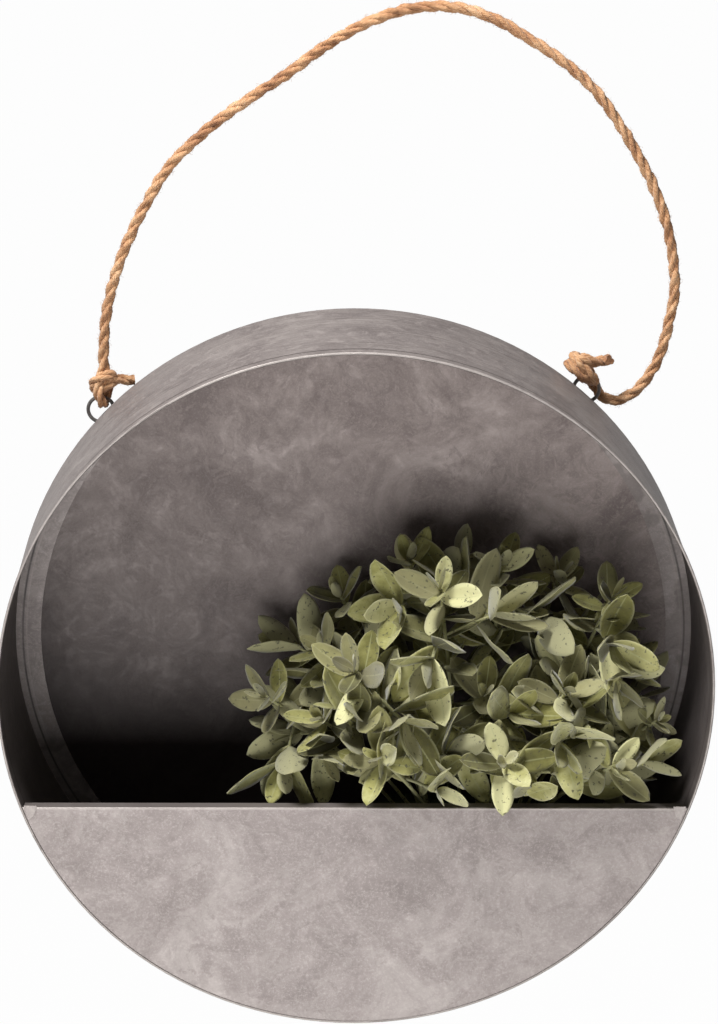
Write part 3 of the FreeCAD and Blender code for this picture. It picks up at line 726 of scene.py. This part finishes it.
# The pale rim is painted sheen.
tint = blend(tree, remap(tree, edge, 0.82, 1.0, 0.0, 0.45), tint, "#cfcda0")
tint = blend(tree, remap(tree, edge, 0.0, 0.09, 0.5, 0.0), tint, "#b9bb8c")
tint = blend(tree, stored(tree, "leaf_grey"), tint, "#8c8766")
tint = blend(tree, stored(tree, "leaf_under"), tint, "#9b9872")
tint = blend(tree, remap(tree, flecks, 0.62, 0.68, 0.0, 0.8), tint, "#4c4a38")
surface(tree, tint, 0.9, relief(tree, nap, 0.35, 0.4), Sheen_Weight=0.35, Sheen_Roughness=0.5)
print("made", felt.name)


# %% [markdown]
# ## One leaf, six ways
# A leaf is a long oval, folded a little along its rib, cupped, with a wavy rim and a thin
# stalk end. Six of them with different folds and bends are enough that no two neighbours look
# the same once they are turned and sized. Each is a closed sheet, so it has a real thickness.

# %% Leaf shapes
LEAF_LENGTH, LEAF_WIDTH, LEAF_SHEET = 35.0, 16.0, 0.7
LEAF_ROWS, LEAF_COLUMNS = 12, 6
HOLLOW = 1.9 * LEAF_LENGTH
STALK_HALF, TIP_HALF = 0.8, 0.25
LEAF_BENDS = [(0.5, 0.2, 0.3, 0.1), (1.0, 0.6, 0.2, -0.3), (0.2, -0.5, 0.4, 0.3),
              (0.8, 1.0, 0.3, 0.0), (0.0, 0.4, 0.5, -0.2), (1.3, -0.2, 0.2, 0.4)]


def leaf_place(share, across, fold, curl, wave, twist):
    """A point of the leaf's middle sheet, from its stalk (0) to its tip (1) and across (-1 to 1)."""
    x = LEAF_LENGTH * share
    half = LEAF_WIDTH / 2 * max(0.0, math.sin(math.pi * share**1.08)) ** 0.56
    half = max(half, STALK_HALF if share < 0.2 else TIP_HALF)
    y = half * across
    z = HOLLOW - math.sqrt(HOLLOW**2 - (x - 0.3 * LEAF_LENGTH) ** 2 - y**2)
    z += fold * abs(across) * half * 0.35 - curl * (share**2) * 4
    z += wave * math.sin(share * 11 + 2 * across) * abs(across) ** 2
    z += twist * across * half * share * 0.5
    return x, y, z


def make_leaf(name, bend):
    """A thin closed leaf that runs along X, its hollow towards Z."""
    shape = bmesh.new()
    sides, marks = [], []
    for lift, under in ((LEAF_SHEET / 2, 0.0), (-LEAF_SHEET / 2, 1.0)):
        grid = []
        for i in range(LEAF_ROWS + 1):
            line = []
            for j in range(LEAF_COLUMNS + 1):
                share, across = i / LEAF_ROWS, 2 * j / LEAF_COLUMNS - 1
                x, y, z = leaf_place(share, across, *bend)
                thin = lift * (1 - 0.75 * abs(across) ** 3)
                line.append(shape.verts.new((x * MM, y * MM, (z + thin) * MM)))
                marks.append((across, under))
            grid.append(line)
        sides.append(grid)
    for grid, flip in zip(sides, (False, True)):
        for i in range(LEAF_ROWS):
            for j in range(LEAF_COLUMNS):
                face = [grid[i][j], grid[i + 1][j], grid[i + 1][j + 1], grid[i][j + 1]]
                shape.faces.new(face[::-1] if flip else face)
    top, low = sides
    border = [(i, 0) for i in range(LEAF_ROWS + 1)]
    border += [(LEAF_ROWS, j) for j in range(1, LEAF_COLUMNS + 1)]
    border += [(i, LEAF_COLUMNS) for i in range(LEAF_ROWS - 1, -1, -1)]
    border += [(0, j) for j in range(LEAF_COLUMNS - 1, 0, -1)]
    for (a, b), (c, d) in zip(border, border[1:] + border[:1]):
        shape.faces.new([top[a][b], low[a][b], low[c][d], top[c][d]])
    bmesh.ops.recalc_face_normals(shape, faces=shape.faces)
    mesh = bpy.data.meshes.new(name)
    shape.to_mesh(mesh)
    shape.free()
    mesh.shade_smooth()
    for column, label in enumerate(("leaf_across", "leaf_under")):
        values = [mark[column] for mark in marks]
        mesh.attributes.new(label, "FLOAT", "POINT").data.foreach_set("value", values)
    return mesh


leaf_kinds = bpy.data.collections.new("leaf_kinds")
for i, bend in enumerate(LEAF_BENDS):
    leaf_kinds.objects.link(bpy.data.objects.new(f"leaf_{i}", make_leaf(f"leaf_{i}", bend)))


# %% [markdown]
# ## Where the sprigs stand
# Each sprig is a thin stem with pairs of leaves across from each other, each pair turned from
# the one below. The stems start in the foam in the pocket and fan out. The solid model already
# turned every sprig so that its leaves miss those of its neighbours, so `nearest_turn` finds
# that same turn by trying each one and keeping the one whose leaf tips lie on the solid.

# %% Sprig places
SPRIGS = [
    ((31, 59, 36), 1.0), ((47, 57, 80), 0.95), ((83, 61, 50), 1.0), ((117, 49, 33), 0.95),
    ((146, 47, 62), 0.9), ((-19, 14, 56), 0.95), ((-8, 36, 33), 0.9), ((49, 6, 52), 0.95),
    ((-1, 15, 96), 1.05), ((-51, -15, 60), 0.9), ((-20, -19, 84), 0.85), ((13, -32, 112), 1.0),
    ((118, 3, 97), 1.05), ((157, 8, 58), 0.85), ((171, -20, 84), 0.6), ((83, -32, 116), 1.0),
    ((146, -39, 104), 0.9), ((73, -5, 82), 0.95),
]
PAIRS = [(0, 84, 0.9, 15), (90, 70, 1.0, 9), (20, 52, 0.85, 4.5), (110, 26, 0.55, 0.5)]
TURNS = range(0, 180, 10)
SHARES = (1, 0.94, 0.88, 0.82)
BUSH_ROOT = Vector((70, -85, 52))
FOAM_TOP, STEM_SEAT, NECK = -98.0, 14.0, 24
X_AXIS, Z_AXIS = Vector((1, 0, 0)), Vector((0, 0, 1))


def turned_by(degrees, axis):
    return Matrix.Rotation(math.radians(degrees), 4, axis)


def standing(place, axis, own_axis=Z_AXIS):
    """A frame at a place, with one of its own axes along the given one."""
    return Matrix.Translation(place) @ own_axis.rotation_difference(axis).to_matrix().to_4x4()


def rosette_axis(centre):
    """The way a sprig's tip looks: away from the bush's root, and up to the light."""
    axis = (centre - BUSH_ROOT).normalized() + Vector((0, 0.25, 0.5))
    return axis.normalized()


def leaf_matrices(centre, axis, turn, scale, pairs=PAIRS):
    """Each leaf's place about a stem's tip, in the drum's own frame: matrix and size.
    A pair is (turn, opening, size, how far below the tip)."""
    stand = standing(centre, axis)
    for swing, opening, share, drop in pairs:
        for half in (0, 180):
            about, open_up = turned_by(turn + swing + half, "Z"), turned_by(opening - 90, "Y")
            yield stand @ Matrix.Translation((0, 0, -drop * scale)) @ about @ open_up, share * scale


def stem_places(centre):
    """Where a sprig's stem runs: up from the foam, then along the sprig's own lean."""
    foot_x = BUSH_ROOT.x + (centre.x - BUSH_ROOT.x) * 0.28
    foot = Vector((foot_x, FOAM_TOP, BUSH_ROOT.z + (centre.z - 70) * 0.45))
    knee = foot + Vector((0, 10, 0))
    return [foot - Vector((0, STEM_SEAT, 0)), knee, centre - rosette_axis(centre) * NECK, centre]


def nearest_turn(number, centre, scale):
    """The turn and size whose leaf tips lie on the solid sprig's surface."""
    mesh = nodes[f"sprig_{number:02d}"].data
    tree = KDTree(len(mesh.vertices))
    for i, vertex in enumerate(mesh.vertices):
        tree.insert(vertex.co, i)
    tree.balance()
    best = None
    for share in SHARES:
        for turn in TURNS:
            leaves = leaf_matrices(centre, rosette_axis(centre), turn, scale * share)
            tips = [m @ Vector((LEAF_LENGTH * s * 0.98, 0, 0)) for m, s in leaves]
            miss = sum(tree.find(spot(*tip))[2] for tip in tips)
            if best is None or miss < best[0]:
                best = (miss, turn, scale * share)
    return best


settled = []
taken = []
for number, (place_now, scale_now) in enumerate(SPRIGS, start=1):
    centre_now = Vector(place_now)
    miss, turn_now, size_now = nearest_turn(number, centre_now, scale_now)
    miss_mm = miss / (2 * len(PAIRS)) / MM
    print(f"sprig {number}: turn {turn_now}, size {size_now:.3f}, tips miss by {miss_mm:.2f} mm")
    settled.append((centre_now, turn_now, size_now))
    taken += [centre_now, centre_now + rosette_axis(centre_now) * 15]


# %% [markdown]
# ## Fuller stems
# On the real plant more leaves grow lower down, and short side shoots fill the gaps between the
# tips. `lower_leaves` adds pairs along each stem. `side_shoot` looks all round the stem for the
# emptiest place that a shoot's tip can reach inside the bush's rounded outline. A leaf that
# would meet the drum is made smaller, or left out, and the bush still lifts out freely.

# %% Lower leaves and side shoots
LIFT = 45.0
WALL_ROOM, RIM_FRONT, BACK_ROOM, FRONT_REACH = 190, 108, 7, 140
PANEL_TOP, PANEL_INSIDE = -56, 95
LOWER_PAIRS = [(25, 66, 1.12), (38, 56, 1.16), (54, 60, 1.08)]
SHOOT_PAIRS = [(0, 24, 0.85, 0), (90, 48, 1.08, 3), (10, 60, 1.15, 13)]
SHOOTS, SHOOT_LENGTH, SHOOT_SPACING, SHOOT_SCALE = 2, 32.0, 9, 0.95
DOME_MIDDLE, DOME_HALF = (60, -25), (108, 88)
rng = random.Random(7)


def has_room(matrix, size):
    """Whether a leaf stays clear of the drum, also while the bush is lifted out."""
    for share in (0.0, 0.35, 0.7, 1.0):
        for side in (-0.5, 0.0, 0.5):
            x, height, out = matrix @ Vector((LEAF_LENGTH * size * share, LEAF_WIDTH * size * side, 0))
            reach = max(math.hypot(x, height), math.hypot(x, height + LIFT))
            if out < RIM_FRONT and reach > WALL_ROOM:
                return False
            if out < BACK_ROOM or out > FRONT_REACH or (height < PANEL_TOP and out > PANEL_INSIDE):
                return False
    return True


def shrunk_to_fit(matrix, size, steps):
    """The leaf in the first of its sizes that has room, in a list, or an empty list."""
    for step in steps:
        if has_room(matrix, size * step):
            return [(matrix, size * step)]
    return []


def lower_leaves(centre, turn, scale):
    """Pairs of full-grown leaves farther down the stem: (how far down, opening, size)."""
    knee, elbow = stem_places(centre)[1:3]
    down = (knee - elbow).normalized()
    found = []
    for i, (drop, opening, share) in enumerate(LOWER_PAIRS):
        if drop - NECK > (knee - elbow).length - 15:
            continue
        axis = (rosette_axis(centre) * (1 - i * 0.25) - down * (0.3 + i * 0.25)).normalized()
        stand = standing(elbow + down * (drop - NECK), axis)
        for half in (0, 180):
            about = turned_by(turn + 90 * i + 45 + half + rng.uniform(-22, 22), "Z")
            open_up = turned_by(opening - 90 + rng.uniform(-12, 12), "Y")
            roll = turned_by(rng.uniform(-30, 30), "X")
            size = share * (0.55 + 0.45 * scale) * rng.uniform(0.92, 1.06)
            found += shrunk_to_fit(stand @ about @ open_up @ roll, size, (1.0, 0.85, 0.7, 0.55))
    return found


def in_dome(place):
    """Whether a shoot's tip lies in the bush's rounded outline, as seen from the camera."""
    height = place.y - 0.32 * (place.z - 60)
    across = (place.x - DOME_MIDDLE[0]) / DOME_HALF[0]
    return across**2 + ((height - DOME_MIDDLE[1]) / DOME_HALF[1]) ** 2 < 1


def side_shoot(centre, drop):
    """The root, axis and tip of the short shoot whose tip gets the most space, or None."""
    knee, elbow = stem_places(centre)[1:3]
    root = elbow + (knee - elbow).normalized() * drop
    lean = Z_AXIS.rotation_difference(rosette_axis(centre)).to_matrix()
    best, most_space = None, 0.0
    for degrees in range(0, 360, 20):
        for tilt in (math.radians(a) for a in (35, 60, 85)):
            sideways = Matrix.Rotation(math.radians(degrees), 3, "Z") @ Vector((math.sin(tilt), 0, 0))
            axis = (lean @ (sideways + Vector((0, 0, math.cos(tilt))))).normalized()
            end = root + axis * SHOOT_LENGTH
            if not in_dome(end) or not has_room(standing(end, axis, X_AXIS), 0.7):
                continue
            space = min((end + axis * 8 - other).length for other in taken)
            if best is None or space > most_space:
                best, most_space = (root, axis, end), space
    return best


print("bush: at most", len(LOWER_PAIRS), "lower pairs and", SHOOTS, "side shoots for each sprig")


# %% [markdown]
# ## A sprig from points
# A sprig's leaves all follow one rule, so a tree grows them: every point that is marked as a
# leaf gets one of the six leaves with the turn, size and tone stored on it, and every line of
# points becomes a round stem.

# %% Sprig tree
STEM_RADIUS, STEM_POINTS = 1.0, 26

sprig_tree, given = tree_with("sprig", [
    ("Leaves", "NodeSocketCollection", None),
    ("Stem radius", "NodeSocketFloat", STEM_RADIUS * MM),
])
t = sprig_tree
parts = add(t, "GeometryNodeSeparateGeometry", {
    "Geometry": given["Geometry"], "Selection": named(t, "is_leaf", "BOOLEAN")}, domain="POINT")
kinds = first(t, "GeometryNodeCollectionInfo", {
    "Collection": given["Leaves"], "Separate Children": True, "Reset Children": True})
pose = first(t, "FunctionNodeEulerToRotation", {"Euler": named(t, "pose", "FLOAT_VECTOR")})
leaves = first(t, "GeometryNodeInstanceOnPoints", {
    "Points": parts.outputs["Selection"], "Instance": kinds, "Pick Instance": True,
    "Instance Index": named(t, "kind", "INT"), "Rotation": pose, "Scale": named(t, "grown", "FLOAT")})
stem_line = first(t, "GeometryNodeMeshToCurve", {"Mesh": parts.outputs["Inverted"]})
stem_line = first(t, "GeometryNodeCurveSplineType", {"Curve": stem_line}, spline_type="NURBS")
stem_line = first(t, "GeometryNodeResampleCurve", {"Curve": stem_line, "Count": STEM_POINTS})
round_stem = first(t, "GeometryNodeCurvePrimitiveCircle", {"Resolution": 8, "Radius": given["Stem radius"]})
stem = first(t, "GeometryNodeCurveToMesh", {
    "Curve": stem_line, "Profile Curve": round_stem, "Fill Caps": True})
finish_tree(t, (leaves, stem), felt)
print("sprig tree:", len(t.nodes), "nodes")


# %% [markdown]
# ## The bush
# Each sprig is first a cloud of points with numbers on them, and then the tree's plain mesh. No
# two leaves on a plant sit alike, so each one is rolled, tipped, sized and toned a little at
# random, from one fixed seed.

# %% Sprigs
DRUM_TO_ROW = Matrix(((1, 0, 0), (0, 0, -1), (0, 1, 0)))


def loosened(matrix, size):
    """The same leaf, rolled and tipped a little."""
    roll = turned_by(rng.uniform(-24, 24), "X")
    tip = turned_by(rng.uniform(-9, 9), "Y")
    swing = turned_by(rng.uniform(-12, 12), "Z")
    return matrix @ swing @ tip @ roll, size * rng.uniform(0.9, 1.16)


def leaf_tone():
    """Most leaves are a middling green, and one in eight is pale."""
    return 1.05 if rng.random() < 0.12 else min(1.0, max(0.0, rng.gauss(0.44, 0.22)))


def leaves_and_stems(centre, turn, scale):
    """Every leaf of a sprig as (matrix, size), and every stem as a line of places."""
    leaves = [loosened(*leaf) for leaf in leaf_matrices(centre, rosette_axis(centre), turn, scale)]
    leaves += lower_leaves(centre, turn, scale)
    stems = [stem_places(centre)]
    for number in range(SHOOTS):
        shoot = side_shoot(centre, 2 + number * SHOOT_SPACING)
        if not shoot:
            continue
        root, axis, end = shoot
        stems.append([root, root + axis * 12 + Vector((0, 1, 1)), end])
        for leaf in leaf_matrices(end, axis, rng.uniform(0, 90), SHOOT_SCALE, SHOOT_PAIRS):
            leaves += shrunk_to_fit(*loosened(*leaf), (1.0, 0.85, 0.7))
        taken.extend([end, end + axis * 15])
    return leaves, stems


def sprig_source(leaves, stems):
    """The points a sprig grows from: one for each leaf, and a line for every stem."""
    places = [spot(*matrix.translation) for matrix, size in leaves]
    poses = [(DRUM_TO_ROW @ matrix.to_3x3()).to_euler() for matrix, size in leaves]
    count = len(leaves)
    edges = []
    for stem in stems:
        start = len(places)
        places += [spot(*point) for point in stem]
        edges += [(start + i, start + i + 1) for i in range(len(stem) - 1)]
    pad = len(places) - count
    mesh = bpy.data.meshes.new("sprig_source")
    mesh.from_pydata(places, edges, [])
    columns = [
        ("is_leaf", "BOOLEAN", [True] * count + [False] * pad),
        ("kind", "INT", [rng.randrange(len(LEAF_BENDS)) for _ in places]),
        ("grown", "FLOAT", [size for matrix, size in leaves] + [1.0] * pad),
        ("leaf_shade", "FLOAT", [leaf_tone() for _ in range(count)] + [0.5] * pad),
        ("leaf_grey", "FLOAT", [max(0.0, rng.uniform(-0.6, 0.7)) for _ in range(count)] + [0.3] * pad),
    ]
    for label, kind, values in columns:
        mesh.attributes.new(label, kind, "POINT").data.foreach_set("value", values)
    flat = [angle_now for pose_now in poses for angle_now in pose_now] + [0.0] * (3 * pad)
    mesh.attributes.new("pose", "FLOAT_VECTOR", "POINT").data.foreach_set("vector", flat)
    return link("sprig_source", mesh)


for number, sprig_now in enumerate(settled, start=1):
    source = sprig_source(*leaves_and_stems(*sprig_now))
    sprig = run_tree(source, sprig_tree, f"leafy_sprig_{number:02d}", Leaves=leaf_kinds)
    claim(sprig, "bush", f"sprig_{number:02d}")
for leaf_object in list(leaf_kinds.objects):
    bpy.data.objects.remove(leaf_object)
bpy.data.collections.remove(leaf_kinds)


# %% [markdown]
# ## The foam in the pocket
# Florists push stems into a block of dry foam. It is a crisp, matt green stuff full of tiny holes, and
# it shows only from above. The holes are far too many to model, so a cell pattern paints shade into them
# and dents the shading.

# %% Foam material
PORE_SIZE = 1.8

foam, tree, place = new_material("dry_flower_foam")
pores = add(tree, "ShaderNodeTexVoronoi", {"Vector": place, "Scale": 1000 / PORE_SIZE}).outputs["Distance"]
# The dark end of the ramp is painted shade in the pores.
tint = ramp(tree, pores, [(0.0, "#232a1c"), (0.5, "#3d472f"), (1.0, "#4d573b")])
surface(tree, tint, 0.95, relief(tree, pores, 0.6, 0.8))
dress("foam_block", foam, "flower_foam", "bush")


# %% [markdown]
# ## Floor and room
# The planter stands before a plain white ground, as in the photograph. Rays from the camera see
# the floor and the room as pure white, while the planter gets only a little of the room's light,
# so the zinc stays dark. The floor is far below, and so wide that its edge lies out of sight.

# %% Floor and room
FLOOR_HALF, FLOOR_DROP, FLOOR_GLOW = 60.0, 1.2, 0.98
ROOM_STRENGTH = 0.11


def seen_by(tree, *kinds):
    """1 for rays of the given kinds, and 0 for the rest."""
    path = add(tree, "ShaderNodeLightPath")
    seen = path.outputs[kinds[0]]
    for kind in kinds[1:]:
        seen = calc(tree, "MAXIMUM", seen, path.outputs[kind])
    return seen


floor_z = cad_box[0][2] - FLOOR_DROP
floor_mesh = bpy.data.meshes.new("floor")
floor_corners = [(-FLOOR_HALF, -FLOOR_HALF), (FLOOR_HALF, -FLOOR_HALF), (FLOOR_HALF, FLOOR_HALF),
                 (-FLOOR_HALF, FLOOR_HALF)]
floor_mesh.from_pydata([(x, y, floor_z) for x, y in floor_corners], [], [(0, 1, 2, 3)])
floor = link("floor", floor_mesh)
pale, tree, _ = new_material("pale_floor")
seen = seen_by(tree, "Is Camera Ray", "Is Glossy Ray", "Is Transmission Ray")
share = calc(tree, "MULTIPLY", seen, FLOOR_GLOW)
glow = first(tree, "ShaderNodeEmission", {"Color": (1, 1, 1, 1), "Strength": 1.0})
matt = first(tree, "ShaderNodeBsdfDiffuse", {"Color": linear("#f4f3f2")})
show(tree, first(tree, "ShaderNodeMixShader", {0: share, 1: matt, 2: glow}))
floor_mesh.materials.append(pale)

world = bpy.data.worlds.new("room")
bpy.context.scene.world = world
world.use_nodes = True
tree = world.node_tree
tree.nodes.clear()
white = first(tree, "ShaderNodeBackground", {"Color": (1, 1, 1, 1), "Strength": 1.0})
room = first(tree, "ShaderNodeBackground", {"Color": (1, 1, 1, 1), "Strength": ROOM_STRENGTH})
mixed = first(tree, "ShaderNodeMixShader", {
    0: seen_by(tree, "Is Camera Ray", "Is Transmission Ray"), 1: room, 2: white})
add(tree, "ShaderNodeOutputWorld", {"Surface": mixed})
print("floor at", round(floor_z, 3), "m")


# %% [markdown]
# ## Lamps
# The light is that of a plain studio. A small strong lamp above gives the drum its shade under
# the upper rim, a broad one low in front fills the pocket and the leaves, and a faint one from
# the right keeps that side of the drum off black.

# %% Lamps
AIM = spot(0, 0, 50)
LAMPS = (
    ("front", (-0.3, -1.95, -0.62), 27, 1.3),
    ("over", (-0.55, -0.4, 1.65), 44, 0.5),
    ("side", (1.7, -0.6, 0.3), 1.5, 1.0),
)
for name, offset, watts, size in LAMPS:
    lamp = bpy.data.lights.new(name, "AREA")
    lamp.energy = watts
    lamp.size = size
    lamp_object = link(name, lamp)
    lamp_object.location = AIM + Vector(offset)
    lamp_object.rotation_euler = (-Vector(offset)).to_track_quat("-Z", "Y").to_euler()
    print("lamp", name, watts, "W")
